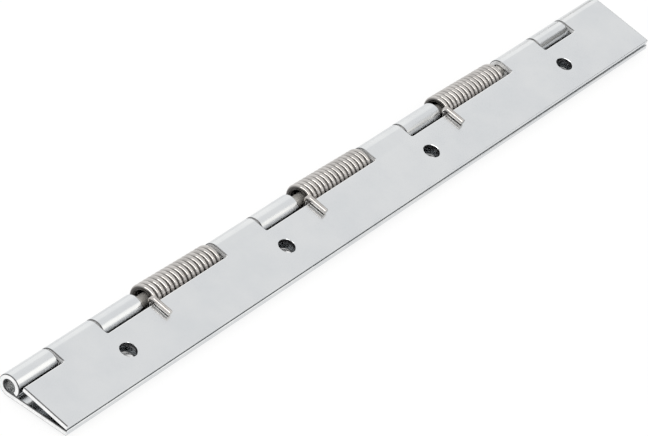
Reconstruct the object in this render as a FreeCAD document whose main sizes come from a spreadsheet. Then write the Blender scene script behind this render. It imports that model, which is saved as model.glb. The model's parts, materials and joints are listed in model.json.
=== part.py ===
import FreeCAD, Part
import math
import os

import Sketcher
from FreeCAD import Vector

# Spring loaded door hinge: a short continuous hinge in sheet steel, held shut by torsion springs.
# Two leaves are rolled round one pin. Each spring is wound on the pin in a gap between knuckles,
# with one leg on the outside of each leaf, so that it turns the leaves towards each other.
#
# Frame, in millimetres: X runs along the pin. The lower leaf lies flat with its outer face on
# Z = 0 and reaches towards -Y. The origin is the middle of its row of screw holes.
# Along the hinge, places are worked out from the near end, which is the end at -X.

doc = FreeCAD.newDocument("spring_hinge")

# Driving dimensions.
SIZES = [
    ("leaf_width", 17.5, "pin axis to the upper leaf's free edge"),
    ("lower_overhang", 0.3, "how far the lower leaf reaches past the upper one"),
    ("sheet_thickness", 1.4, "thickness of both leaves"),
    ("closed_gap", 0.15, "gap left where the free edges meet"),
    ("curl_gap", 0.12, "tip of a rolled knuckle to its own leaf's inner face"),
    ("pin_diameter", 3.2, "hinge pin"),
    ("pin_clearance", 0.05, "running clearance of the pin in a knuckle, on the radius"),
    ("pin_recess", 3.0, "pin end to leaf end, at each end"),
    ("pin_chamfer", 0.3, "chamfer on both pin ends"),
    ("near_knuckle", 13.7, "lower leaf's first knuckle"),
    ("upper_knuckle", 15.4, "upper leaf's knuckles"),
    ("lower_knuckle", 14.4, "lower leaf's knuckles beside the springs"),
    ("far_lower_knuckle", 12.9, "lower leaf's last knuckle"),
    ("far_upper_knuckle", 16.8, "upper leaf's last knuckle"),
    ("knuckle_gap", 0.4, "gap between neighbouring knuckles"),
    ("notch_corner", 0.5, "inner corner radius of the notches"),
    ("hole_diameter", 4.4, "screw holes"),
    ("hole_margin", 30.0, "near end to the first hole"),
    ("hole_setback", 9.9, "pin axis to the row of holes"),
    ("spring_count", 3, "springs, with one screw hole more than that in each leaf"),
    ("wire_diameter", 1.6, "spring wire"),
    ("coil_turns", 16, "whole turns in a spring"),
    ("turn_gap", 0.02, "air between neighbouring turns"),
    ("coil_clearance", 0.55, "pin to the inside of a coil, on the radius"),
    ("coil_rub_gap", 0.08, "what is left of that where a leaning coil comes near the pin"),
    ("spring_play", 2.28, "free length beside a spring in its space"),
    ("edge_clearance", 0.12, "spring wire to the notch edge that it passes"),
    ("leg_gap", 0.08, "spring leg to the leaf that it presses on"),
    ("leg_reach", 8.4, "pin axis to the tip of a spring leg"),
    ("bend_radius", 0.15, "inside radius where a leg turns over the notch edge"),
]
sheet = doc.addObject("Spreadsheet::Sheet", "Sizes")
for row, (alias, value, meaning) in enumerate(SIZES, start=1):
    sheet.set("A%d" % row, alias)
    sheet.set("B%d" % row, str(value))
    sheet.set("C%d" % row, meaning)
    sheet.setAlias("B%d" % row, alias)
doc.recompute()

# Where each spring lies in its own space: the share of the play that is on its near side.
SPRING_SHARES = {"spring_near": 0.75, "spring_middle": 0.92, "spring_far": 0.06}

# The wire is drawn in straight lengths with a flat-sided section, which keeps the coils light.
WIRE_SIDES = 8
STEPS_PER_TURN = 12
STEPS_PER_BEND = 3

# Sizes that follow from the driving ones, as expressions on the sheet.
BORE_RADIUS = "(Sizes.pin_diameter / 2 + Sizes.pin_clearance)"
KNUCKLE_RADIUS = "(%s + Sizes.sheet_thickness)" % BORE_RADIUS
CLOSED_ANGLE = "(2 * atan((%s - Sizes.closed_gap / 2) / Sizes.leaf_width))" % BORE_RADIUS
COIL_RADIUS = "(Sizes.pin_diameter / 2 + Sizes.coil_clearance + Sizes.wire_diameter / 2)"
COIL_PITCH = "(Sizes.wire_diameter + Sizes.turn_gap)"
SPRING_SPACE = ("(Sizes.coil_turns * %s + Sizes.wire_diameter + Sizes.spring_play)" % COIL_PITCH)
PERIOD = ("(Sizes.upper_knuckle + Sizes.knuckle_gap + Sizes.lower_knuckle + %s)" % SPRING_SPACE)

# The notch edge of the tilted upper leaf keeps its inner corner clear of the wire.
LOWER_NOTCH_EDGE = "(%s + Sizes.wire_diameter / 2 + Sizes.edge_clearance)" % COIL_RADIUS
UPPER_NOTCH_EDGE = "((%s - %s * sin(%s)) / cos(%s))" % (
    LOWER_NOTCH_EDGE, BORE_RADIUS, CLOSED_ANGLE, CLOSED_ANGLE)

# Places along the hinge, from its near end.
FIRST_UPPER = "(Sizes.near_knuckle + Sizes.knuckle_gap)"
FIRST_UPPER_END = "(%s + Sizes.upper_knuckle)" % FIRST_UPPER
FIRST_LOWER = "(%s + Sizes.knuckle_gap)" % FIRST_UPPER_END
FIRST_LOWER_END = "(%s + Sizes.lower_knuckle)" % FIRST_LOWER
LAST_UPPER_END = "(%s + Sizes.spring_count * %s)" % (FIRST_UPPER_END, PERIOD)
FAR_LOWER_END = "(%s + Sizes.knuckle_gap + Sizes.far_lower_knuckle)" % LAST_UPPER_END
LENGTH = "(%s + Sizes.knuckle_gap + Sizes.far_upper_knuckle)" % FAR_LOWER_END
ROW_CENTRE = "(Sizes.hole_margin + Sizes.spring_count * %s / 2)" % PERIOD


def value(expression):
    """The number that an expression on the sheet comes to."""
    result = sheet.evalExpression(expression)
    return float(getattr(result, "Value", result))


def put_on_pin(obj):
    """Move a piece from its own frame, with the pin axis along X, to its place in the hinge."""
    obj.setExpression("Placement.Base.x", "-" + ROW_CENTRE)
    obj.setExpression("Placement.Base.y", "Sizes.hole_setback")
    obj.setExpression("Placement.Base.z", KNUCKLE_RADIUS)


def add_size(sketch, name, expression, *where):
    """Add a dimension to a sketch and bind it to the sheet."""
    index = sketch.addConstraint(Sketcher.Constraint(*where, value(expression)))
    sketch.renameConstraint(index, name)
    sketch.setExpression("Constraints." + name, expression)


def new_sketch(body, name, plane_role):
    """An empty sketch on one of the body's own planes."""
    plane = [item for item in body.Origin.OriginFeatures if item.Role == plane_role][0]
    sketch = body.newObject("Sketcher::SketchObject", name)
    sketch.AttachmentSupport = (plane, [""])
    sketch.MapMode = "FlatFace"
    return sketch


def draw_leaf_profile(body, side, width):
    """Flat leaf and rolled knuckle in one outline. side is -1 for the lower leaf, 1 for the upper."""
    sketch = new_sketch(body, body.Name + "_profile", "YZ_Plane")
    bore = value(BORE_RADIUS)
    outer = value(KNUCKLE_RADIUS)
    reach = value(width)
    tip_angle = math.pi + math.asin((bore - value("Sizes.curl_gap")) / outer)
    start, end = -math.pi / 2, tip_angle
    if side > 0:
        start, end = -tip_angle, math.pi / 2
    centre, axis = Vector(0, 0, 0), Vector(0, 0, 1)
    # The roll begins on the leaf, below or above the pin, and ends at its tip.
    root_point, tip_point = (1, 2) if side < 0 else (2, 1)
    roll_outer = sketch.addGeometry(
        Part.ArcOfCircle(Part.Circle(centre, axis, outer), start, end), False)
    roll_inner = sketch.addGeometry(
        Part.ArcOfCircle(Part.Circle(centre, axis, bore), start, end), False)
    face_outer = sketch.addGeometry(
        Part.LineSegment(Vector(-reach, side * outer, 0), Vector(0, side * outer, 0)), False)
    face_inner = sketch.addGeometry(
        Part.LineSegment(Vector(-reach, side * bore, 0), Vector(0, side * bore, 0)), False)
    free_edge = sketch.addGeometry(
        Part.LineSegment(Vector(-reach, side * outer, 0), Vector(-reach, side * bore, 0)), False)
    tip_direction = Vector(math.cos(tip_angle), -side * math.sin(tip_angle), 0)
    roll_tip = sketch.addGeometry(
        Part.LineSegment(tip_direction * outer, tip_direction * bore), False)
    for arc, face, tip_end in ((roll_outer, face_outer, 1), (roll_inner, face_inner, 2)):
        sketch.addConstraint([
            Sketcher.Constraint("Coincident", arc, 3, -1, 1),
            Sketcher.Constraint("Coincident", arc, root_point, face, 2),
            Sketcher.Constraint("PointOnObject", face, 2, -2),
            Sketcher.Constraint("Coincident", arc, tip_point, roll_tip, tip_end),
            Sketcher.Constraint("Horizontal", face),
        ])
    sketch.addConstraint([
        Sketcher.Constraint("Coincident", free_edge, 1, face_outer, 1),
        Sketcher.Constraint("Coincident", free_edge, 2, face_inner, 1),
        Sketcher.Constraint("Vertical", free_edge),
        Sketcher.Constraint("PointOnObject", -1, 1, roll_tip),
    ])
    add_size(sketch, "outer_radius", KNUCKLE_RADIUS, "Radius", roll_outer)
    add_size(sketch, "bore_radius", BORE_RADIUS, "Radius", roll_inner)
    add_size(sketch, "reach", width, "DistanceX", face_outer, 1, -1, 1)
    gap_ends = [(face_inner, 2), (roll_tip, 1)][::-side]
    add_size(sketch, "tip_gap", "Sizes.curl_gap", "DistanceY", *gap_ends[0], *gap_ends[1])
    return sketch


def draw_notch(body, name, width, end, edge):
    """Rounded slot that ends at `end` along the hinge and cuts back as far as `edge` from the pin."""
    sketch = new_sketch(body, name + "_outline", "XY_Plane")
    right = value(end)
    left = right - value(width)
    low = -value(edge)
    high = value("2 * " + KNUCKLE_RADIUS)
    corner = value("Sizes.notch_corner")
    axis = Vector(0, 0, 1)
    bottom = sketch.addGeometry(
        Part.LineSegment(Vector(left + corner, low, 0), Vector(right - corner, low, 0)), False)
    right_arc = sketch.addGeometry(Part.ArcOfCircle(
        Part.Circle(Vector(right - corner, low + corner, 0), axis, corner), -math.pi / 2, 0), False)
    right_side = sketch.addGeometry(
        Part.LineSegment(Vector(right, low + corner, 0), Vector(right, high, 0)), False)
    top = sketch.addGeometry(
        Part.LineSegment(Vector(right, high, 0), Vector(left, high, 0)), False)
    left_side = sketch.addGeometry(
        Part.LineSegment(Vector(left, high, 0), Vector(left, low + corner, 0)), False)
    left_arc = sketch.addGeometry(Part.ArcOfCircle(
        Part.Circle(Vector(left + corner, low + corner, 0), axis, corner),
        math.pi, 1.5 * math.pi), False)
    sketch.addConstraint([
        Sketcher.Constraint("Horizontal", bottom),
        Sketcher.Constraint("Horizontal", top),
        Sketcher.Constraint("Vertical", right_side),
        Sketcher.Constraint("Vertical", left_side),
        Sketcher.Constraint("Tangent", bottom, 2, right_arc, 1),
        Sketcher.Constraint("Tangent", right_arc, 2, right_side, 1),
        Sketcher.Constraint("Coincident", right_side, 2, top, 1),
        Sketcher.Constraint("Coincident", top, 2, left_side, 1),
        Sketcher.Constraint("Tangent", left_side, 2, left_arc, 1),
        Sketcher.Constraint("Tangent", left_arc, 2, bottom, 1),
        Sketcher.Constraint("Equal", left_arc, right_arc),
    ])
    add_size(sketch, "corner", "Sizes.notch_corner", "Radius", right_arc)
    add_size(sketch, "end", end, "DistanceX", -1, 1, right_side, 1)
    add_size(sketch, "width", width, "DistanceX", top, 2, top, 1)
    add_size(sketch, "edge", edge, "DistanceY", bottom, 1, -1, 1)
    add_size(sketch, "height", "2 * " + KNUCKLE_RADIUS, "DistanceY", -1, 1, top, 1)
    return sketch


def cut_through(body, name, sketch):
    """Cut a sketch through the sheet and the rolled knuckles, both ways from the pin axis."""
    pocket = body.newObject("PartDesign::Pocket", name)
    pocket.Profile = sketch
    pocket.Type = "ThroughAll"
    pocket.Midplane = True
    return pocket


def repeat_along(body, feature, sketch, count):
    """Repeat a cut along the hinge, once each period."""
    pattern = body.newObject("PartDesign::LinearPattern", feature.Name + "_row")
    pattern.Originals = [feature]
    pattern.Direction = (sketch, ["H_Axis"])
    pattern.setExpression("Length", "(%s - 1) * %s" % (count, PERIOD))
    pattern.setExpression("Occurrences", count)
    body.Tip = pattern


def make_leaf(name, side, width, edge, notches, spring_notch):
    """One leaf: its profile drawn out to length, notched for what turns beside it, and drilled."""
    body = doc.addObject("PartDesign::Body", name)
    body.Label = name
    profile = draw_leaf_profile(body, side, width)
    pad = body.newObject("PartDesign::Pad", name + "_pad")
    pad.Profile = profile
    pad.setExpression("Length", LENGTH)
    for number, (start, end) in enumerate(notches, start=1):
        notch = "%s_notch_%d" % (name, number)
        sketch = draw_notch(body, notch, "(%s) - (%s)" % (end, start), end, edge)
        cut_through(body, notch, sketch)
    start, end = spring_notch
    sketch = draw_notch(body, name + "_spring_notch", "(%s) - (%s)" % (end, start), end, edge)
    pocket = cut_through(body, name + "_spring_notch", sketch)
    repeat_along(body, pocket, sketch, "Sizes.spring_count")
    holes = new_sketch(body, name + "_hole_outline", "XY_Plane")
    place = Vector(value("Sizes.hole_margin"), -value("Sizes.hole_setback"), 0)
    radius = value("Sizes.hole_diameter / 2")
    circle = holes.addGeometry(Part.Circle(place, Vector(0, 0, 1), radius), False)
    add_size(holes, "diameter", "Sizes.hole_diameter", "Diameter", circle)
    add_size(holes, "margin", "Sizes.hole_margin", "DistanceX", -1, 1, circle, 3)
    add_size(holes, "setback", "Sizes.hole_setback", "DistanceY", circle, 3, -1, 1)
    pocket = cut_through(body, name + "_hole", holes)
    repeat_along(body, pocket, holes, "(Sizes.spring_count + 1)")
    put_on_pin(body)
    return body


def make_lower_leaf():
    """The leaf that lies flat. It is cut away round each upper knuckle and each spring."""
    between = (FIRST_UPPER + " - Sizes.knuckle_gap", FIRST_LOWER)
    far_end = (FAR_LOWER_END, "%s + %s" % (LENGTH, KNUCKLE_RADIUS))
    spring = (FIRST_LOWER_END, "%s + %s" % (FIRST_LOWER, PERIOD))
    width = "(Sizes.leaf_width + Sizes.lower_overhang)"
    return make_leaf("lower_leaf", -1, width, LOWER_NOTCH_EDGE, [between, far_end], spring)


def make_upper_leaf():
    """The leaf that turns. It is cut away round each lower knuckle and each spring."""
    near_end = ("-" + KNUCKLE_RADIUS, FIRST_UPPER)
    far = (LAST_UPPER_END, "%s + Sizes.knuckle_gap" % FAR_LOWER_END)
    spring = (FIRST_UPPER_END, "%s + %s" % (FIRST_UPPER, PERIOD))
    leaf = make_leaf(
        "upper_leaf", 1, "Sizes.leaf_width", UPPER_NOTCH_EDGE, [near_end, far], spring)
    leaf.Placement.Rotation = FreeCAD.Rotation(Vector(1, 0, 0), 1)
    leaf.setExpression("Placement.Rotation.Angle", CLOSED_ANGLE)
    return leaf


def make_pin():
    """One plain rod through every knuckle and spring, a little short of both ends."""
    body = doc.addObject("PartDesign::Body", "hinge_pin")
    body.Label = "hinge_pin"
    sketch = new_sketch(body, "hinge_pin_outline", "YZ_Plane")
    sketch.setExpression("AttachmentOffset.Base.z", "Sizes.pin_recess")
    circle = sketch.addGeometry(
        Part.Circle(Vector(0, 0, 0), Vector(0, 0, 1), value("Sizes.pin_diameter / 2")), False)
    sketch.addConstraint(Sketcher.Constraint("Coincident", circle, 3, -1, 1))
    add_size(sketch, "diameter", "Sizes.pin_diameter", "Diameter", circle)
    pad = body.newObject("PartDesign::Pad", "hinge_pin_pad")
    pad.Profile = sketch
    pad.setExpression("Length", "%s - 2 * Sizes.pin_recess" % LENGTH)
    doc.recompute()
    rims = ["Edge%d" % number for number, edge in enumerate(pad.Shape.Edges, start=1)
            if isinstance(edge.Curve, Part.Circle)]
    chamfer = body.newObject("PartDesign::Chamfer", "hinge_pin_chamfer")
    chamfer.Base = (pad, rims)
    chamfer.setExpression("Size", "Sizes.pin_chamfer")
    put_on_pin(body)
    return body


def round_corner(before, corner, after, radius):
    """Points of the arc that replaces a corner of the wire's path."""
    inward = (before - corner).normalize()
    outward = (after - corner).normalize()
    half_turn = (math.pi - inward.getAngle(outward)) / 2
    tangent_length = radius * math.tan(half_turn)
    bisector = (inward + outward).normalize()
    centre = corner + bisector * (radius / math.cos(half_turn))
    first = corner + inward * tangent_length - centre
    axis = inward.cross(outward)
    turn = math.degrees(-2 * half_turn)
    points = []
    for step in range(STEPS_PER_BEND + 1):
        spin = FreeCAD.Rotation(axis, turn * step / STEPS_PER_BEND)
        points.append(centre + spin.multVec(first))
    return points


def spring_path(start_x):
    """Centre line of a spring's wire, from the tip on the upper leaf to the tip on the lower one."""
    wire_radius = value("Sizes.wire_diameter / 2")
    coil_radius = value(COIL_RADIUS)
    pitch = value(COIL_PITCH)
    turns = int(round(value("Sizes.coil_turns")))
    lean = value("Sizes.coil_clearance - Sizes.coil_rub_gap")
    leg_height = value(KNUCKLE_RADIUS) + value("Sizes.leg_gap") + wire_radius
    reach = value("Sizes.leg_reach")
    bend = value("Sizes.bend_radius") + wire_radius
    tilt = math.radians(value(CLOSED_ANGLE))

    # The coil leans: its near end is drawn up and its far end down by the legs.
    coil = []
    steps = turns * STEPS_PER_TURN
    for step in range(steps + 1):
        angle = 2 * math.pi * step / STEPS_PER_TURN
        centre_z = lean * (1 - 2 * step / steps)
        coil.append(Vector(start_x + pitch * step / STEPS_PER_TURN,
                           -coil_radius * math.cos(angle),
                           centre_z - coil_radius * math.sin(angle)))

    # Both legs leave the coil at its front, in line with the wire, and turn over a notch edge.
    slope = pitch / (2 * math.pi * coil_radius)
    along = Vector(0, -math.cos(tilt), -math.sin(tilt))
    above = Vector(0, -math.sin(tilt), math.cos(tilt)) * leg_height
    out = (coil_radius + above.y) / -along.y
    near_corner = above + along * out
    near_corner.x = coil[0].x - slope * (near_corner.z - coil[0].z)
    near_tip = above + along * reach
    near_tip.x = near_corner.x
    far_corner = Vector(0, -coil_radius, -leg_height)
    far_corner.x = coil[-1].x + slope * (coil[-1].z - far_corner.z)
    far_tip = Vector(far_corner.x, -reach, -leg_height)
    return ([near_tip] + round_corner(near_tip, near_corner, coil[0], bend) + coil
            + round_corner(coil[-1], far_corner, far_tip, bend) + [far_tip])


def sweep_wire(path, radius, sides):
    """A solid wire along a path of straight lengths, mitred where they meet."""
    runs = [(end - start).normalize() for start, end in zip(path, path[1:])]
    across = Vector(1, 0, 0)
    upward = runs[0].cross(across).normalize()
    ring = []
    for side in range(sides):
        angle = 2 * math.pi * (side + 0.5) / sides
        ring.append(path[0] + across * (radius * math.cos(angle))
                    + upward * (radius * math.sin(angle)))
    faces = [Part.Face(Part.makePolygon(ring + [ring[0]]))]
    for number, run in enumerate(runs):
        end = path[number + 1]
        normal = run if number + 1 == len(runs) else run + runs[number + 1]
        moved = [point + run * ((end - point).dot(normal) / run.dot(normal)) for point in ring]
        for side in range(sides):
            after = (side + 1) % sides
            corners = [ring[side], ring[after], moved[after], moved[side], ring[side]]
            faces.append(Part.Face(Part.makePolygon(corners)))
        ring = moved
    faces.append(Part.Face(Part.makePolygon(ring + [ring[0]])))
    solid = Part.makeSolid(Part.makeShell(faces))
    if solid.Volume < 0:
        solid.reverse()
    return solid


def make_spring(name, number, near_share):
    """One torsion spring, in its space behind a lower knuckle."""
    space_start = value("%s + %d * %s" % (FIRST_LOWER_END, number, PERIOD))
    start_x = space_start + value("Sizes.wire_diameter / 2") + near_share * value("Sizes.spring_play")
    spring = doc.addObject("Part::Feature", name)
    spring.Label = name
    spring.Shape = sweep_wire(spring_path(start_x), value("Sizes.wire_diameter / 2"), WIRE_SIDES)
    put_on_pin(spring)
    return spring


def check_and_write(pieces):
    """Stop on any failed feature or bad shape, and write one file for each piece."""
    doc.recompute()
    for obj in doc.Objects:
        if "Invalid" in obj.State or "Error" in obj.State:
            raise RuntimeError("%s failed: %s" % (obj.Name, obj.State))
    for piece in pieces:
        shape = piece.Shape
        if shape.isNull() or not shape.isValid() or len(shape.Solids) != 1:
            raise RuntimeError("%s has a bad shape" % piece.Label)
    os.makedirs("parts", exist_ok=True)
    for piece in pieces:
        box = piece.Shape.BoundBox
        piece.Shape.exportStep(os.path.join("parts", piece.Label + ".step"))
        print("%s: %.1f mm3, X %.2f..%.2f, Y %.2f..%.2f, Z %.2f..%.2f" % (
            piece.Label, piece.Shape.Volume, box.XMin, box.XMax,
            box.YMin, box.YMax, box.ZMin, box.ZMax))


pieces = [make_lower_leaf(), make_upper_leaf(), make_pin()]
for number, (name, near_share) in enumerate(SPRING_SHARES.items()):
    pieces.append(make_spring(name, number, near_share))
check_and_write(pieces)
print("closed angle %.2f degrees, hole pitch %.2f mm, length %.2f mm" % (
    value(CLOSED_ANGLE), value(PERIOD), value(LENGTH)))
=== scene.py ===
# %% [markdown]
# # Spring loaded door hinge
# The object is a short continuous hinge in satin steel. Two sheet leaves are rolled round one
# pin, and three torsion springs on the pin hold them shut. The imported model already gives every
# piece its place. This lesson remakes the pieces as a workshop would: blanks are stamped and
# rolled, wire is wound, rod is cut. Each then gets a steel finish of its own.

import json
import math

import bmesh
import bpy
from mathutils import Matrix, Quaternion, Vector

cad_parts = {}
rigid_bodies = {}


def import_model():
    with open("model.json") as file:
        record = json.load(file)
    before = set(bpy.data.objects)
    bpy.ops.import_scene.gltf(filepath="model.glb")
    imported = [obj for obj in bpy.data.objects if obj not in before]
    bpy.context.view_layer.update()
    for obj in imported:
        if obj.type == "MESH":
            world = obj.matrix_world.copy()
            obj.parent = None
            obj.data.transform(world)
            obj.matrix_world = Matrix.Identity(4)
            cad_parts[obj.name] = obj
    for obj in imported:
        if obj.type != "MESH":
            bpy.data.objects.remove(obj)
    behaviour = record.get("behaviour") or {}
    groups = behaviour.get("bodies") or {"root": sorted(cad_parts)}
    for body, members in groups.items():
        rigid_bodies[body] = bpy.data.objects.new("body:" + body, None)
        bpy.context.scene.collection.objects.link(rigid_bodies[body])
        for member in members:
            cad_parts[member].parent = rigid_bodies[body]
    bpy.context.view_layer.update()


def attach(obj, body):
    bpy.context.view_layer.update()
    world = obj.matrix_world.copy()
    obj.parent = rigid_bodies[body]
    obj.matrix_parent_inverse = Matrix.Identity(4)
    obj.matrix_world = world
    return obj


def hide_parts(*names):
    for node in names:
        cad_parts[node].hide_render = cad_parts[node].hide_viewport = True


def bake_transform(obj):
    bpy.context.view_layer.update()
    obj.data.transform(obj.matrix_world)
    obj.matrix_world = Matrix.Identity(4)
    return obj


MM = 0.001

for leftover in list(bpy.data.objects):
    bpy.data.objects.remove(leftover)
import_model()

# %% [markdown]
# ## The camera
# A long lens looks down on the hinge from beyond its near end, with the camera rolled so that
# the hinge runs from corner to corner. The camera is placed on an arm: a point to look at, a
# direction back from it, and a distance.

# %% Camera
LOOK_AT = Vector((-12.7, 1.26, 3.05)) * MM
AZIMUTH = math.radians(-60.23)
ELEVATION = math.radians(36.96)
ROLL = math.radians(13.22)
DISTANCE = 930.7 * MM
LENS = 210.8

back = Vector((
    math.sin(AZIMUTH) * math.cos(ELEVATION),
    -math.cos(AZIMUTH) * math.cos(ELEVATION),
    math.sin(ELEVATION),
))
camera = bpy.data.objects.new("camera", bpy.data.cameras.new("camera"))
bpy.context.scene.collection.objects.link(camera)
camera.data.lens = LENS
camera.data.clip_start = 0.01
camera.data.clip_end = 20
camera.location = LOOK_AT + back * DISTANCE
camera.rotation_mode = "QUATERNION"
camera.rotation_quaternion = (-back).to_track_quat("-Z", "Y") @ Quaternion((0, 0, 1), ROLL)
bpy.context.scene.camera = camera
bpy.context.scene.view_settings.view_transform = "Standard"
print("camera at", tuple(round(number, 4) for number in camera.location))

# %% [markdown]
# ## Helpers for node trees
# Both the shapes and the finishes are node trees. A few short functions keep them readable. Two of
# them add a node and join its inputs, and the others wrap the nodes that come back most often:
# sums, ranges, noise, and vectors split into parts and put together again.

# %% Node helpers
FLOAT, VECTOR, COLOUR = "NodeSocketFloat", "NodeSocketVector", "NodeSocketColor"
SHAPE, STEEL = "NodeSocketGeometry", "NodeSocketMaterial"
COLOUR_A, COLOUR_B, MIXED_COLOUR = 6, 7, 2


def connect(tree, source, target):
    """Join a socket to an input, or set the input to a plain value."""
    if isinstance(source, bpy.types.NodeSocket):
        tree.links.new(source, target)
    else:
        target.default_value = source


def add_node(tree, kind, inputs=(), **settings):
    """New node with its settings made, then its inputs joined by name or number."""
    node = tree.nodes.new(kind)
    for name, setting in settings.items():
        setattr(node, name, setting)
    for label, source in dict(inputs).items():
        connect(tree, source, node.inputs[label])
    return node


def calc(tree, operation, *terms):
    terms = dict(enumerate(terms))
    return add_node(tree, "ShaderNodeMath", terms, operation=operation).outputs[0]


def calc_vector(tree, operation, *terms):
    terms = dict(enumerate(terms))
    node = add_node(tree, "ShaderNodeVectorMath", terms, operation=operation)
    return node.outputs["Value" if operation == "LENGTH" else "Vector"]


def remap(tree, value, old, new=(0.0, 1.0), step="LINEAR"):
    """Value carried from an old range to a new one, and held at the ends."""
    limits = {"From Min": old[0], "From Max": old[1], "To Min": new[0], "To Max": new[1]}
    return add_node(tree, "ShaderNodeMapRange", {"Value": value, **limits},
                    interpolation_type=step).outputs["Result"]


def mix_colour(tree, factor, first, second):
    return add_node(tree, "ShaderNodeMix", {"Factor": factor, COLOUR_A: first, COLOUR_B: second},
                    data_type="RGBA").outputs[MIXED_COLOUR]


def noise(tree, place, scale, detail, roughness):
    return add_node(tree, "ShaderNodeTexNoise", {
        "Vector": place, "Scale": scale, "Detail": detail, "Roughness": roughness},
        noise_dimensions="3D").outputs["Fac"]


def split_vector(tree, vector):
    return add_node(tree, "ShaderNodeSeparateXYZ", {0: vector}).outputs[:]


def join_vector(tree, x, y, z):
    return add_node(tree, "ShaderNodeCombineXYZ", {"X": x, "Y": y, "Z": z}).outputs[0]


def new_tree(name, kind, inputs, outputs):
    """A node group with named sockets. Returns the tree and its input and output nodes."""
    tree = bpy.data.node_groups.new(name, kind)
    for in_out, sockets in (("INPUT", inputs), ("OUTPUT", outputs)):
        for label, socket_type in sockets.items():
            tree.interface.new_socket(label, in_out=in_out, socket_type=socket_type)
    return tree, add_node(tree, "NodeGroupInput"), add_node(tree, "NodeGroupOutput")


print("node helpers ready in Blender", bpy.app.version_string)


# %% Object helpers
def new_object(name, data):
    obj = bpy.data.objects.new(name, data)
    bpy.context.scene.collection.objects.link(obj)
    return obj


def run_tree(obj, tree, values):
    """Run a geometry tree on an object, and keep its result as a plain mesh."""
    modifier = obj.modifiers.new(tree.name, "NODES")
    modifier.node_group = tree
    for item in tree.interface.items_tree:
        if item.in_out == "INPUT" and item.name in values:
            modifier[item.identifier] = values[item.name]
    depsgraph = bpy.context.evaluated_depsgraph_get()
    made = bpy.data.meshes.new_from_object(
        obj.evaluated_get(depsgraph), preserve_all_data_layers=True, depsgraph=depsgraph)
    obj.modifiers.remove(modifier)
    obj.data = made
    made.name = obj.name
    print(obj.name, "has", len(made.vertices), "points and", len(made.polygons), "faces")


def smooth_shading(obj, sharp_above):
    """Smooth shading, but for edges that turn by more degrees than sharp_above."""
    obj.data.shade_smooth()
    obj.data.set_sharp_from_angle(angle=math.radians(sharp_above))


# %% [markdown]
# ## Finish parts shared by all the steel
# Rolled sheet, drawn rod and drawn wire all carry fine lines along the way they were worked, and
# all of them are a little cloudy. Each effect is one shader group, placed in every steel with its
# own values: the grain is noise stretched along one direction, and the clouds are soft noise.

# %% Shader group: grain
GRAIN_DETAIL = 4.0
GRAIN_ROUGHNESS = 0.65

grain, grain_in, grain_out = new_tree(
    "worked_grain", "ShaderNodeTree",
    {"Place": VECTOR, "Stretch": VECTOR, "Fine": FLOAT}, {"Lines": FLOAT})
stretched = calc_vector(
    grain, "MULTIPLY", grain_in.outputs["Place"], grain_in.outputs["Stretch"])
lines = noise(grain, stretched, grain_in.outputs["Fine"], GRAIN_DETAIL, GRAIN_ROUGHNESS)
connect(grain, lines, grain_out.inputs["Lines"])
print("group", grain.name, "with", len(grain.nodes), "nodes")

# %% Shader group: clouds
CLOUD_DETAIL = 3.0
CLOUD_ROUGHNESS = 0.55

clouds, clouds_in, clouds_out = new_tree(
    "steel_clouds", "ShaderNodeTree",
    {"Place": VECTOR, "Size": FLOAT, "Soft": FLOAT, "Dull": COLOUR, "Clean": COLOUR},
    {"Colour": COLOUR, "Mask": FLOAT})
puffs = noise(
    clouds, clouds_in.outputs["Place"], calc(clouds, "DIVIDE", 1.0, clouds_in.outputs["Size"]),
    CLOUD_DETAIL, CLOUD_ROUGHNESS)
mask = remap(clouds, puffs, (
    calc(clouds, "SUBTRACT", 0.5, clouds_in.outputs["Soft"]),
    calc(clouds, "ADD", 0.5, clouds_in.outputs["Soft"])))
tint = mix_colour(clouds, mask, clouds_in.outputs["Dull"], clouds_in.outputs["Clean"])
connect(clouds, tint, clouds_out.inputs["Colour"])
connect(clouds, mask, clouds_out.inputs["Mask"])
print("group", clouds.name, "with", len(clouds.nodes), "nodes")

# %% [markdown]
# ## The steels
# One function builds each steel from the two groups. The clouds choose between a clean and a dull
# tone and make the dull places rougher. The grain roughens the surface a little and gives the
# bump its height, so that reflections break up along the lines. Rolled sheet and wire are plain
# metal. Sawn and sheared faces and the drawn rod scatter more light, so they are less metallic.
# The walls of the upper leaf's punched holes are painted near black as shade, and those of the
# lower leaf's are painted bright as light. A near-black steel paints a dark reflection line on
# the rounded edges beside sawn faces and on the rims of the lower leaf's holes.

# %% Steel builder and the steels of leaves and pin
CLOUD_SHARE = -0.5
UNEVEN_RANGE = (-0.1, 0.7)


def object_place(tree):
    return add_node(tree, "ShaderNodeTexCoord").outputs["Object"]


def make_steel(name, place_from, stretch, fine, cloud, dull, clean, gloss, bump, metal=1.0):
    """cloud is (size, softness), gloss (smoothest, roughest), bump (strength, depth of a line)."""
    material = bpy.data.materials.new(name)
    material.use_nodes = True
    tree = material.node_tree
    place = place_from(tree)
    clouded = add_node(tree, "ShaderNodeGroup", {
        "Place": place, "Size": cloud[0], "Soft": cloud[1],
        "Dull": dull + (1.0,), "Clean": clean + (1.0,)}, node_tree=clouds)
    grained = add_node(tree, "ShaderNodeGroup", {
        "Place": place, "Stretch": stretch, "Fine": fine}, node_tree=grain)
    uneven = calc(tree, "MULTIPLY_ADD", clouded.outputs["Mask"], CLOUD_SHARE,
                  grained.outputs["Lines"])
    relief = add_node(tree, "ShaderNodeBump", {
        "Strength": bump[0], "Distance": bump[1], "Height": grained.outputs["Lines"]})
    shader = tree.nodes["Principled BSDF"]
    shader.inputs["Metallic"].default_value = metal
    connect(tree, clouded.outputs["Colour"], shader.inputs["Base Color"])
    connect(tree, remap(tree, uneven, UNEVEN_RANGE, gloss), shader.inputs["Roughness"])
    connect(tree, relief.outputs["Normal"], shader.inputs["Normal"])
    print("finish", name, "roughness", gloss)
    return material


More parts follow.
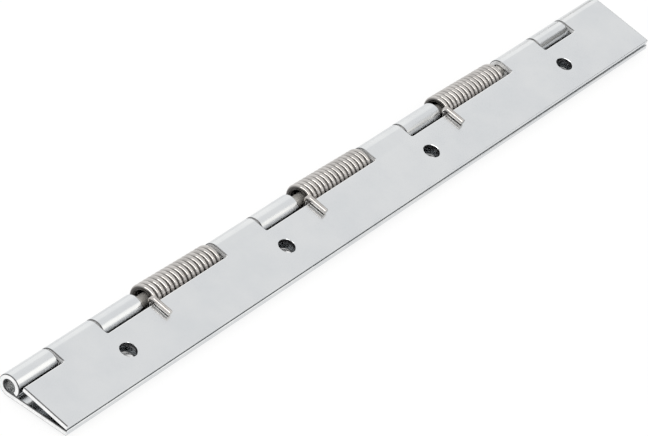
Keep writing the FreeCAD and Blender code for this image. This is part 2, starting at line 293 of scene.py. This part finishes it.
leaf_steel = make_steel(
    "satin_sheet_steel", object_place, stretch=(12.0, 600.0, 600.0), fine=2.0,
    cloud=(9 * MM, 0.15), dull=(0.645, 0.662, 0.678), clean=(0.682, 0.695, 0.705),
    gloss=(0.16, 0.25), bump=(0.06, 0.02 * MM))
end_steel = make_steel(
    "sawn_end_steel", object_place, stretch=(100.0, 100.0, 900.0), fine=3.0,
    cloud=(2 * MM, 0.15), dull=(0.76, 0.765, 0.77), clean=(0.86, 0.86, 0.865),
    gloss=(0.22, 0.36), bump=(0.2, 0.02 * MM), metal=0.3)
# Painted shade: the walls of the upper leaf's holes are near black.
painted_shade_hole_steel = make_steel(
    "hole_steel_painted_shade", object_place, stretch=(300.0, 300.0, 30.0), fine=2.0,
    cloud=(2.5 * MM, 0.06), dull=(0.05, 0.05, 0.052), clean=(0.16, 0.16, 0.165),
    gloss=(0.25, 0.45), bump=(0.3, 0.03 * MM))
# Painted light: the walls of the lower leaf's holes are nearly white.
painted_light_hole_steel = make_steel(
    "hole_steel_painted_light", object_place, stretch=(300.0, 300.0, 30.0), fine=2.0,
    cloud=(2.5 * MM, 0.05), dull=(0.80, 0.80, 0.80), clean=(0.97, 0.97, 0.97),
    gloss=(0.08, 0.18), bump=(0.05, 0.03 * MM))
# Painted dark reflection: a near-black line on rounded edges and on the lower hole rims.
painted_dark_edge_steel = make_steel(
    "edge_steel_painted_dark", object_place, stretch=(300.0, 300.0, 300.0), fine=2.0,
    cloud=(4 * MM, 0.15), dull=(0.13, 0.13, 0.132), clean=(0.20, 0.20, 0.203),
    gloss=(0.2, 0.3), bump=(0.1, 0.02 * MM))
pin_steel = make_steel(
    "drawn_rod_steel", object_place, stretch=(20.0, 900.0, 900.0), fine=2.0,
    cloud=(4 * MM, 0.15), dull=(0.52, 0.50, 0.47), clean=(0.70, 0.68, 0.65),
    gloss=(0.2, 0.34), bump=(0.3, 0.02 * MM), metal=0.5)

# %% [markdown]
# ## Sizes
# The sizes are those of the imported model, in millimetres. Along the hinge they count from its
# near end, and across it they count from the pin. BORE is the radius of the knuckles' bore, and
# KNUCKLE is their outer radius. A tab is the part of a blank that is rolled into a knuckle.

# %% Sizes along and across the hinge
LENGTH = 240.0
SHEET = 1.4
BORE = 1.65
KNUCKLE = BORE + SHEET
UPPER_WIDTH = 17.5
LOWER_WIDTH = 17.8
SETBACK = 9.9
FREE_EDGE_GAP = 0.15
TILT = 2 * math.atan((BORE - FREE_EDGE_GAP / 2) / UPPER_WIDTH)
PERIOD = 60.0
SPRING_COUNT = 3
HOLE_COUNT = 4
HOLE_RADIUS = 2.2
HOLE_MARGIN = 30.0
CORNER = 0.5
WIRE_RADIUS = 0.8
COIL_RADIUS = 2.95
NOTCH_GAP = 0.12
LOWER_NOTCH = COIL_RADIUS + WIRE_RADIUS + NOTCH_GAP
UPPER_NOTCH = (LOWER_NOTCH - BORE * math.sin(TILT)) / math.cos(TILT)
ROLL_TIP_GAP = 0.12
CURL = math.pi * 1.5 + math.asin((BORE - ROLL_TIP_GAP) / KNUCKLE)
LEG_GAP = 0.08


def tab_row(start, end, count):
    """The same tab, once in every period of the hinge."""
    return [(start + PERIOD * number, end + PERIOD * number) for number in range(count)]


lower_tabs = [(0.0, 13.7)] + tab_row(29.9, 44.3, SPRING_COUNT) + [(209.9, 222.8)]
upper_tabs = tab_row(14.1, 29.5, SPRING_COUNT + 1) + [(223.2, LENGTH)]
turned_tabs = [(LENGTH - end, LENGTH - start) for start, end in reversed(upper_tabs)]
print("closed tilt", round(math.degrees(TILT), 2), "curl", round(math.degrees(CURL), 1))

# %% [markdown]
# ## Stamped blanks
# A real leaf starts as a flat blank with tabs along one side. A filled 2D curve is the natural
# tool: it fills the outline round the holes, gives it thickness, and rounds the edges the way
# that deburring does. The tabs are then sliced into narrow strips, so that they can be rolled.
# Each face is marked by the way it was made: punched hole, rounded rim of a hole, sawn or sheared
# edge, or turned edge beside one. The roll gives each mark its own steel.

# %% Outline of a blank
ROLL_RADIUS = KNUCKLE - SHEET / 2
ROLL_LENGTH = ROLL_RADIUS * CURL
CORNER_STEPS = 5
HOLE_POINTS = 48


def corner_points(x, edge, side):
    """Quarter circle in the foot of a tab. side is 1 where the tab lies further along X."""
    points = []
    for step in range(CORNER_STEPS + 1):
        angle = math.pi / 2 * step / CORNER_STEPS
        points.append((x - side * CORNER * (1 - math.sin(angle)),
                       edge + CORNER * (1 - math.cos(angle))))
    return points


def blank_outline(width, notch, tabs):
    """Corners of a blank, with Y counted from the pin and the tabs reaching beyond it."""
    edge = -notch
    outline = [(LENGTH, -width), (0.0, -width)]
    if tabs[0][0] > 0:
        outline.append((0.0, edge))
    for start, end in tabs:
        outline += corner_points(start, edge, 1) if start > 0 else [(start, edge)]
        outline += [(start, ROLL_LENGTH), (end, ROLL_LENGTH)]
        outline += corner_points(end, edge, -1)[::-1] if end < LENGTH else [(end, edge)]
    if tabs[-1][1] < LENGTH:
        outline.append((LENGTH, edge))
    return outline


def hole_outline(number):
    centre_x = HOLE_MARGIN + PERIOD * number
    turn = [2 * math.pi * step / HOLE_POINTS for step in range(HOLE_POINTS)]
    return [(centre_x + HOLE_RADIUS * math.cos(angle), HOLE_RADIUS * math.sin(angle) - SETBACK)
            for angle in turn]


print("lower blank has", len(blank_outline(LOWER_WIDTH, LOWER_NOTCH, lower_tabs)), "corners")

# %% Stamping a blank
EDGE_ROUND = 0.22
ROLL_STRIPS = 64
WELD = 0.001 * MM


def filled_sheet(name, outlines):
    """Sheet that fills the first outline but for the others, with its edges deburred."""
    curve = bpy.data.curves.new(name + "_outline", "CURVE")
    curve.dimensions = "2D"
    curve.fill_mode = "BOTH"
    for outline in outlines:
        spline = curve.splines.new("POLY")
        spline.points.add(len(outline) - 1)
        for point, (x, y) in zip(spline.points, outline):
            point.co = ((x - LENGTH / 2) * MM, y * MM, 0.0, 1.0)
        spline.use_cyclic_u = True
    curve.extrude = (SHEET / 2 - EDGE_ROUND) * MM
    curve.bevel_depth = EDGE_ROUND * MM
    curve.bevel_resolution = 2
    curve.offset = -EDGE_ROUND * MM
    drawing = new_object(name + "_outline", curve)
    depsgraph = bpy.context.evaluated_depsgraph_get()
    mesh = bpy.data.meshes.new_from_object(drawing.evaluated_get(depsgraph))
    bpy.data.objects.remove(drawing)
    return mesh


def slice_tabs(shape):
    """Cut the tabs across into strips that are narrow enough to be rolled round."""
    for strip in range(ROLL_STRIPS):
        bmesh.ops.bisect_plane(
            shape, geom=shape.verts[:] + shape.edges[:] + shape.faces[:], dist=WELD,
            plane_co=(0, ROLL_LENGTH * MM * strip / ROLL_STRIPS, 0), plane_no=(0, 1, 0))


print("tabs take strips of", round(ROLL_LENGTH / ROLL_STRIPS, 3), "mm")

# %% Marking the faces
ACROSS = 0.98
SLANTED = 0.2


def mark_faces(shape):
    """Write on each face how it was made. ACROSS and SLANTED are parts of a normal's length."""
    punched, sawn, turned, rim = (
        shape.faces.layers.float.new(mark) for mark in ("punched", "sawn", "turned", "rim"))
    for face in shape.faces:
        centre = face.calc_center_median()
        hole_x = (centre.x / MM + LENGTH / 2 - HOLE_MARGIN + PERIOD / 2) % PERIOD - PERIOD / 2
        from_hole = math.hypot(hole_x, centre.y / MM + SETBACK) - HOLE_RADIUS
        in_hole = from_hole < EDGE_ROUND / 8
        by_hole = from_hole < 2 * EDGE_ROUND
        lean = 0.0 if by_hole else abs(face.normal.x)
        notched = not by_hole and face.normal.y > SLANTED
        face[punched] = float(in_hole)
        face[rim] = float(by_hole and not in_hole and abs(face.normal.z) < ACROSS)
        face[sawn] = float(lean > ACROSS or notched)
        face[turned] = float(ACROSS >= lean > SLANTED)


def stamp_blank(name, width, notch, tabs):
    """Flat blank as a mesh in metres, with its outer face on Z = 0."""
    holes = [hole_outline(number) for number in range(HOLE_COUNT)]
    mesh = filled_sheet(name, [blank_outline(width, notch, tabs)] + holes)
    shape = bmesh.new()
    shape.from_mesh(mesh)
    bmesh.ops.remove_doubles(shape, verts=shape.verts, dist=WELD)
    bmesh.ops.translate(shape, verts=shape.verts, vec=(0, 0, SHEET / 2 * MM))
    slice_tabs(shape)
    bmesh.ops.recalc_face_normals(shape, faces=shape.faces[:])
    mark_faces(shape)
    print(name, "blank:", len(shape.faces), "faces, open edges:",
          sum(1 for edge in shape.edges if not edge.is_manifold))
    shape.to_mesh(mesh)
    shape.free()
    return mesh


print("faces are marked up to", EDGE_ROUND * 2, "mm from a hole")

# %% [markdown]
# ## Rolling the knuckles
# Rolling is a rule: everything beyond the pin line goes round the pin at its own radius, by the
# length that lies beyond the line. One geometry tree does it for both leaves, then turns the
# leaf over if asked and puts it in place.

# %% Geometry tree: roll
MARK_STEELS = {
    "turned": "Edge Steel", "sawn": "End Steel", "rim": "Rim Steel", "punched": "Hole Steel"}


def position(tree):
    return add_node(tree, "GeometryNodeInputPosition").outputs[0]


def stored_value(tree, name):
    return add_node(tree, "GeometryNodeInputNamedAttribute", {"Name": name},
                    data_type="FLOAT").outputs["Attribute"]


def set_steel(tree, geometry, steel, selection=True):
    return add_node(tree, "GeometryNodeSetMaterial", {
        "Geometry": geometry, "Selection": selection, "Material": steel}).outputs[0]


def realize(tree, geometry):
    return add_node(tree, "GeometryNodeRealizeInstances", {"Geometry": geometry}).outputs[0]


roll, roll_in, roll_out = new_tree(
    "roll_knuckles", "GeometryNodeTree",
    {"Geometry": SHAPE, "Knuckle Radius": FLOAT, "Roll Radius": FLOAT, "Turn": VECTOR,
     "Place": VECTOR, "Steel": STEEL, "Hole Steel": STEEL, "End Steel": STEEL,
     "Edge Steel": STEEL, "Rim Steel": STEEL},
    {"Geometry": SHAPE})
blank_x, blank_y, blank_z = split_vector(roll, position(roll))
angle = calc(roll, "DIVIDE", calc(roll, "MAXIMUM", blank_y, 0.0), roll_in.outputs["Roll Radius"])
radius = calc(roll, "SUBTRACT", roll_in.outputs["Knuckle Radius"], blank_z)
rolled_y = calc(roll, "MULTIPLY_ADD", radius, calc(roll, "SINE", angle),
                calc(roll, "MINIMUM", blank_y, 0.0))
rolled_z = calc(roll, "MULTIPLY", calc(roll, "MULTIPLY", radius, -1.0),
                calc(roll, "COSINE", angle))
turned_over = add_node(roll, "ShaderNodeVectorRotate", {
    "Vector": join_vector(roll, blank_x, rolled_y, rolled_z),
    "Rotation": roll_in.outputs["Turn"]}, rotation_type="EULER_XYZ").outputs[0]
in_place = add_node(roll, "GeometryNodeSetPosition", {
    "Geometry": roll_in.outputs["Geometry"],
    "Position": calc_vector(roll, "ADD", turned_over, roll_in.outputs["Place"])}).outputs[0]
finished = realize(roll, set_steel(roll, in_place, roll_in.outputs["Steel"]))
for mark, steel_input in MARK_STEELS.items():
    finished = set_steel(
        roll, finished, roll_in.outputs[steel_input], stored_value(roll, mark))
connect(roll, finished, roll_out.inputs["Geometry"])
print("tree", roll.name, "with", len(roll.nodes), "nodes")

# %% Roll both leaves
ON_PIN = (0.0, SETBACK * MM, KNUCKLE * MM)
SHARP_ABOVE = 18


def make_leaf(name, body, width, notch, tabs, turn, hole_steel, rim_steel):
    leaf = new_object(name + "_rolled", stamp_blank(name, width, notch, tabs))
    run_tree(leaf, roll, {
        "Knuckle Radius": KNUCKLE * MM, "Roll Radius": ROLL_RADIUS * MM,
        "Turn": turn, "Place": ON_PIN, "Steel": leaf_steel,
        "Hole Steel": hole_steel, "Rim Steel": rim_steel, "End Steel": end_steel,
        "Edge Steel": painted_dark_edge_steel})
    smooth_shading(leaf, SHARP_ABOVE)
    flat_faces = leaf.modifiers.new("flat_faces", "WEIGHTED_NORMAL")
    flat_faces.keep_sharp = True
    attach(leaf, body)
    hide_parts(name)


make_leaf("lower_leaf", "lower", LOWER_WIDTH, LOWER_NOTCH, lower_tabs, turn=(0, 0, 0),
          hole_steel=painted_light_hole_steel, rim_steel=painted_dark_edge_steel)
make_leaf("upper_leaf", "upper", UPPER_WIDTH, UPPER_NOTCH, turned_tabs, turn=(-TILT, math.pi, 0),
          hole_steel=painted_shade_hole_steel, rim_steel=leaf_steel)

# %% [markdown]
# ## The pin
# The pin is a rod with chamfered ends. Rings of points along the rod, joined by faces, make it
# with a finely rounded outline.

# %% Pin
PIN_RADIUS = 1.6
PIN_CHAMFER = 0.3
PIN_RECESS = 3.0
PIN_SIDES = 48
PIN_END = LENGTH / 2 - PIN_RECESS


def ring_of(shape, x, radius):
    ring = []
    for side in range(PIN_SIDES):
        angle = 2 * math.pi * side / PIN_SIDES
        ring.append(shape.verts.new((
            x * MM, ON_PIN[1] + radius * math.cos(angle) * MM,
            ON_PIN[2] + radius * math.sin(angle) * MM)))
    return ring


shape = bmesh.new()
rings = [ring_of(shape, x, radius) for x, radius in (
    (-PIN_END, PIN_RADIUS - PIN_CHAMFER), (-PIN_END + PIN_CHAMFER, PIN_RADIUS),
    (PIN_END - PIN_CHAMFER, PIN_RADIUS), (PIN_END, PIN_RADIUS - PIN_CHAMFER))]
for first, second in zip(rings, rings[1:]):
    for side in range(PIN_SIDES):
        after = (side + 1) % PIN_SIDES
        shape.faces.new((first[side], first[after], second[after], second[side]))
shape.faces.new(rings[0])
shape.faces.new(rings[-1])
bmesh.ops.recalc_face_normals(shape, faces=shape.faces[:])
pin_mesh = bpy.data.meshes.new("hinge_pin_rod")
shape.to_mesh(pin_mesh)
shape.free()
pin = new_object("hinge_pin_rod", pin_mesh)
pin.data.materials.append(pin_steel)
smooth_shading(pin, SHARP_ABOVE)
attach(pin, "lower")
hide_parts("hinge_pin")
print("pin", len(pin.data.polygons), "faces")

# %% [markdown]
# ## Spring wire
# Wire keeps its round section along any path, which is just what a curve swept by a circle does.
# The tree also stores how far along the wire each point is, and where on the section it lies, so
# that the drawing lines in the finish follow the wire round every turn. A third value says how
# far a point stands out from the pin, from 1 on the crest of a turn to 0 and less in its grooves.
# The legs lie beyond the reach of the coil, and count as crest all round.

# %% Geometry tree: wire
LEG_GAIN = 2.0


def store_value(tree, geometry, name, value, kind="FLOAT"):
    return add_node(tree, "GeometryNodeStoreNamedAttribute", {
        "Geometry": geometry, "Name": name, "Value": value},
        data_type=kind, domain="POINT").outputs[0]


def distance_from_pin(tree, pin_place):
    from_pin = calc_vector(tree, "SUBTRACT", position(tree), pin_place)
    beside_pin = calc_vector(tree, "MULTIPLY", from_pin, (0.0, 1.0, 1.0))
    return calc_vector(tree, "LENGTH", beside_pin)


wire, wire_in, wire_out = new_tree(
    "draw_wire", "GeometryNodeTree",
    {"Geometry": SHAPE, "Wire Radius": FLOAT, "Sides": "NodeSocketInt", "Pin Place": VECTOR,
     "Coil Reach": FLOAT, "Steel": STEEL},
    {"Geometry": SHAPE})
wire_radius, pin_place = wire_in.outputs["Wire Radius"], wire_in.outputs["Pin Place"]
centre_line = add_node(wire, "GeometryNodeMeshToCurve", {"Mesh": wire_in.outputs["Geometry"]})
path = store_value(wire, centre_line.outputs[0], "wire_length",
                   add_node(wire, "GeometryNodeSplineParameter").outputs["Length"])
path = store_value(wire, path, "centre_distance", distance_from_pin(wire, pin_place))
circle = add_node(wire, "GeometryNodeCurvePrimitiveCircle", {
    "Resolution": wire_in.outputs["Sides"], "Radius": wire_radius})
section = store_value(wire, circle.outputs[0], "wire_section", position(wire), "FLOAT_VECTOR")
swept = add_node(wire, "GeometryNodeCurveToMesh", {
    "Curve": path, "Profile Curve": section, "Fill Caps": True}).outputs[0]
centre_distance = stored_value(wire, "centre_distance")
outward = calc(wire, "SUBTRACT", distance_from_pin(wire, pin_place), centre_distance)
on_leg = calc(wire, "SUBTRACT", centre_distance, wire_in.outputs["Coil Reach"])
standing_out = calc(wire, "MAXIMUM", outward, calc(wire, "MULTIPLY", on_leg, LEG_GAIN))
# The crest value later places the painted shade in the wire's grooves.
swept = store_value(wire, swept, "wire_crest", calc(wire, "DIVIDE", standing_out, wire_radius))
finished = realize(wire, set_steel(wire, swept, wire_in.outputs["Steel"]))
connect(wire, finished, wire_out.inputs["Geometry"])
print("tree", wire.name, "with", len(wire.nodes), "nodes")


# %% Wire steel
def read_attribute(tree, name):
    return add_node(tree, "ShaderNodeAttribute", attribute_name=name)


def wire_place(tree):
    """Place on the wire: across its section in X and Y, along it in Z."""
    across_x, across_y, _ = split_vector(
        tree, read_attribute(tree, "wire_section").outputs["Vector"])
    return join_vector(
        tree, across_x, across_y, read_attribute(tree, "wire_length").outputs["Fac"])


wire_steel = make_steel(
    "bright_spring_wire", wire_place, stretch=(900.0, 900.0, 25.0), fine=3.0,
    cloud=(3 * MM, 0.15), dull=(0.46, 0.44, 0.424), clean=(0.6, 0.578, 0.558),
    gloss=(0.1, 0.17), bump=(0.15, 0.02 * MM))

# %% [markdown]
# ## Painted shade in the grooves between the turns
# The grooves between the close turns would lie in shade. The stored crest value blends the wire's
# own colour into a dark one in the grooves, which is painted shade.

# %% Painted shade in the grooves between the turns
# Colour of the painted shade in the grooves between the turns.
GROOVE_PAINTED_SHADE = (0.1, 0.096, 0.092, 1.0)
GROOVE_TO_CREST = (0.3, 0.9)

tree = wire_steel.node_tree
base_colour = tree.nodes["Principled BSDF"].inputs["Base Color"]
# Painted shade: dark in the grooves, the wire's own colour on the crests and legs.
crest_unshaded = remap(tree, read_attribute(tree, "wire_crest").outputs["Fac"], GROOVE_TO_CREST,
               step="SMOOTHSTEP")
steel_colour = base_colour.links[0].from_socket
connect(tree, mix_colour(tree, crest_unshaded, GROOVE_PAINTED_SHADE, steel_colour), base_colour)
print("grooves between the turns are darkened in", wire_steel.name)

# %% [markdown]
# ## Winding the springs
# Each spring is sixteen close turns with a straight leg at either end. The near leg comes up at
# the front of the coil and turns over the edge of the upper leaf, and the far leg goes down and
# turns under the lower leaf. The pull of the legs makes the coil lean a little on the pin.

# %% Path of a spring
TURNS = 16
PITCH = 1.62
LEAN = 0.47
LEG_HEIGHT = KNUCKLE + LEG_GAP + WIRE_RADIUS
LEG_REACH = 8.4
BEND = 0.15 + WIRE_RADIUS
TURN_STEPS = 40
BEND_STEPS = 8


def round_corner(before, corner, after):
    """Points of the arc that replaces a corner of the wire's path."""
    inward = (before - corner).normalized()
    outward = (after - corner).normalized()
    half_turn = (math.pi - inward.angle(outward)) / 2
    centre = corner + (inward + outward).normalized() * (BEND / math.cos(half_turn))
    first = corner + inward * (BEND * math.tan(half_turn)) - centre
    axis = inward.cross(outward)
    return [centre + Quaternion(axis, -2 * half_turn * step / BEND_STEPS) @ first
            for step in range(BEND_STEPS + 1)]


def spring_path(start_x):
    """Centre line of a spring from its upper tip to its lower one, in millimetres."""
    steps = TURNS * TURN_STEPS
    coil = []
    for step in range(steps + 1):
        angle = 2 * math.pi * step / TURN_STEPS
        coil.append(Vector((
            start_x + PITCH * step / TURN_STEPS,
            -COIL_RADIUS * math.cos(angle),
            LEAN * (1 - 2 * step / steps) - COIL_RADIUS * math.sin(angle))))
    slope = PITCH / (2 * math.pi * COIL_RADIUS)
    over_leaf = Vector((0, -math.sin(TILT), math.cos(TILT))) * LEG_HEIGHT
    outward = Vector((0, -math.cos(TILT), -math.sin(TILT)))
    near_corner = over_leaf + outward * ((COIL_RADIUS + over_leaf.y) / -outward.y)
    near_corner.x = coil[0].x - slope * (near_corner.z - coil[0].z)
    near_tip = over_leaf + outward * LEG_REACH
    near_tip.x = near_corner.x
    far_corner = Vector((0, -COIL_RADIUS, -LEG_HEIGHT))
    far_corner.x = coil[-1].x + slope * (coil[-1].z - far_corner.z)
    far_tip = Vector((far_corner.x, -LEG_REACH, -LEG_HEIGHT))
    return ([near_tip] + round_corner(near_tip, near_corner, coil[0]) + coil
            + round_corner(coil[-1], far_corner, far_tip) + [far_tip])


sample = spring_path(0.0)
wire_needed = sum((after - before).length for before, after in zip(sample, sample[1:]))
print("one spring takes", round(wire_needed), "mm of wire")

# %% Wind the three springs
SPRING_STARTS = {"spring_near": 46.81, "spring_middle": 107.1976, "spring_far": 165.2368}
WIRE_SIDES = 16
WIRE_SHARP_ABOVE = 40

for node, start in SPRING_STARTS.items():
    path = [point * MM + Vector(ON_PIN) for point in spring_path(start - LENGTH / 2)]
    line = bpy.data.meshes.new(node + "_path")
    line.from_pydata(path, [(i, i + 1) for i in range(len(path) - 1)], [])
    spring = new_object(node + "_wire", line)
    run_tree(spring, wire, {
        "Wire Radius": WIRE_RADIUS * MM, "Sides": WIRE_SIDES, "Pin Place": ON_PIN,
        "Coil Reach": (COIL_RADIUS + LEAN) * MM, "Steel": wire_steel})
    smooth_shading(spring, WIRE_SHARP_ABOVE)
    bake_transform(spring)
    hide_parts(node)

# %% [markdown]
# ## Floor, world and lights
# The photograph is taken on a plain white ground that shows almost no shadow. The floor is white
# to the eye and in reflections, and keeps a faint shadow. Only the ground that the hinge covers
# is in its full shade, which darkens what shows through the screw holes, apart from a painted
# spot of light below each pair of holes, where the ground glows as white as in the open. The
# world is the same white behind the floor, and lights the hinge softly. A long strip above the
# near end draws a bright line along each turn of wire, a small warm softbox does the same along
# the knuckles, and a large one behind lights their backs.

# %% Floor, its shade, and a painted spot of light under each pair of holes
HALF_FLOOR = 4.0
FLOOR_Z = (-KNUCKLE - LEG_GAP - 2 * WIRE_RADIUS) * MM + ON_PIN[2]
SHADOW_SHARE = 0.15
SHADE_HALF_LENGTH = 117 * MM
SHADE_HALF_WIDTH = 8.3 * MM
SHADE_CENTRE_Y = 2.5 * MM
SHADE_SOFTNESS = 1 * MM
# Place and size of the painted spot of light under each pair of holes.
SPOT_OFFSET = (-0.7 * MM, 2.2 * MM)
SPOT_RADIUS = 2.0 * MM


def matt_paint(name, tone):
    """Plain paint without any shine."""
    paint = bpy.data.materials.new(name)
    paint.use_nodes = True
    shader = paint.node_tree.nodes["Principled BSDF"]
    shader.inputs["Base Color"].default_value = (tone, tone, tone, 1)
    shader.inputs["Roughness"].default_value = 1.0
    shader.inputs["Specular IOR Level"].default_value = 0.0
    return paint


def seen_directly(tree):
    """1 for rays from the camera and for reflections and refractions, 0 for diffuse light."""
    light_path = add_node(tree, "ShaderNodeLightPath")
    direct = calc(tree, "MAXIMUM", light_path.outputs["Is Camera Ray"],
                  light_path.outputs["Is Glossy Ray"])
    return calc(tree, "MAXIMUM", direct, light_path.outputs["Is Transmission Ray"])


def fall_off(tree, distance, edge, softness):
    """1 well inside an edge, 0 well outside it, and a smooth step over it."""
    over_edge = (edge - softness / 2, edge + softness / 2)
    return remap(tree, distance, over_edge, (1.0, 0.0), step="SMOOTHSTEP")


def shade_under_hinge(tree):
    """1 on the ground under the hinge, 0 in a painted spot of light below each screw hole."""
    ground_x, ground_y, _ = split_vector(tree, object_place(tree))
    from_middle = calc(tree, "ABSOLUTE", calc(tree, "SUBTRACT", ground_y, SHADE_CENTRE_Y))
    under = calc(
        tree, "MULTIPLY",
        fall_off(tree, calc(tree, "ABSOLUTE", ground_x), SHADE_HALF_LENGTH, SHADE_SOFTNESS),
        fall_off(tree, from_middle, SHADE_HALF_WIDTH, SHADE_SOFTNESS))
    half_period = PERIOD / 2 * MM
    from_first = calc(tree, "SUBTRACT", ground_x, half_period + SPOT_OFFSET[0])
    from_spot = calc_vector(tree, "LENGTH", join_vector(
        tree, calc(tree, "WRAP", from_first, half_period, -half_period),
        calc(tree, "SUBTRACT", ground_y, SPOT_OFFSET[1]), 0.0))
    # Painted light: in the spot the ground glows like the open ground.
    spot = fall_off(tree, from_spot, SPOT_RADIUS, SPOT_RADIUS / 2)
    return calc(tree, "MULTIPLY", under, calc(tree, "SUBTRACT", 1.0, spot))


floor_mesh = bpy.data.meshes.new("floor")
floor_mesh.from_pydata(
    [(x * HALF_FLOOR, y * HALF_FLOOR, FLOOR_Z) for x, y in ((-1, -1), (1, -1), (1, 1), (-1, 1))],
    [], [(0, 1, 2, 3)])
floor = new_object("floor", floor_mesh)
ground = matt_paint("white_ground", 0.98)
tree = ground.node_tree
open_ground = calc(
    tree, "MULTIPLY_ADD", shade_under_hinge(tree), SHADOW_SHARE - 1, 1 - SHADOW_SHARE)
glowing = add_node(tree, "ShaderNodeMixShader", {
    0: calc(tree, "MULTIPLY", seen_directly(tree), open_ground),
    1: tree.nodes["Principled BSDF"].outputs[0],
    2: add_node(tree, "ShaderNodeEmission").outputs[0]})
connect(tree, glowing.outputs[0], tree.nodes["Material Output"].inputs["Surface"])
floor.data.materials.append(ground)
print("floor at", round(FLOOR_Z / MM, 3), "mm")

# %% World
AMBIENT = 0.9

world = bpy.data.worlds.new("white_room")
bpy.context.scene.world = world
world.use_nodes = True
tree = world.node_tree
sky = tree.nodes["Background"]
sky.inputs["Color"].default_value = (1, 1, 1, 1)
connect(tree, calc(tree, "MULTIPLY_ADD", seen_directly(tree), 1 - AMBIENT, AMBIENT),
        sky.inputs["Strength"])
print("world white to the eye, and at", AMBIENT, "of that on matt surfaces")


# %% Lights
def softbox(name, direction, distance, size, power, colour, slide=0.0):
    """Lamp that faces the hinge; slide shifts it along its own long side."""
    lamp = bpy.data.lights.new(name, "AREA")
    lamp.shape = "RECTANGLE"
    lamp.size, lamp.size_y = size
    lamp.energy = power
    lamp.color = colour
    holder = new_object(name, lamp)
    holder.location = Vector(direction).normalized() * distance
    holder.rotation_mode = "QUATERNION"
    holder.rotation_quaternion = Vector(direction).to_track_quat("Z", "Y")
    holder.location += holder.rotation_quaternion @ Vector((slide, 0, 0))
    holder.visible_camera = False
    print(name, "of", power, "W")


softbox("overhead_strip", direction=(-0.57, -0.05, 0.82), distance=1.0, size=(1.7, 0.26),
        power=4.8, colour=(1.0, 0.99, 0.95), slide=0.35)
softbox("warm_softbox", direction=(0.575, -0.61, 0.55), distance=1.137, size=(0.45, 0.6),
        power=0.46, colour=(1.0, 0.94, 0.83))
softbox("rear_softbox", direction=(0.69, 0.55, 0.42), distance=1.3, size=(0.9, 0.85),
        power=0.45, colour=(1.0, 0.97, 0.88))

# %% [markdown]
# ## Studio flags
# Bright metal in a white room looks flat, because everything that it mirrors is white. Grey cards
# that stand outside the picture give its round parts their darker lines. The dark one stands
# where only the far knuckles mirror it, which gives them the band that the photograph shows.
# The cards are seen only in reflections, and they neither block light nor throw a shadow.


# %% Flags
def flag(name, tone, x, outline):
    """Flat grey card that stands across the hinge at x. Its outline is in Y and Z, in metres."""
    mesh = bpy.data.meshes.new(name)
    mesh.from_pydata([(x, y, z) for y, z in outline], [], [range(len(outline))])
    mesh.materials.append(matt_paint(name + "_paint", tone))
    card = new_object(name, mesh)
    card.visible_camera = False
    card.visible_diffuse = False
    card.visible_shadow = False
    print(name, "reaches up to", max(z for _, z in outline), "m")


flag("near_flag", 0.42, -1.2, [(-1.8, 0), (0.1, 0), (0.1, 1.6), (-1.8, 1.6)])
flag("far_flag", 0.42, 1.5, [(-0.6, 0), (1.2, 0), (1.2, 0.5), (-0.6, 0.5)])
flag("dark_flag", 0.03, 0.95, [
    (-0.40, 0.67), (-0.76, 0.51), (-0.87, 0.28), (-0.75, 0.12), (-0.45, 0.06), (-0.15, 0.46)])
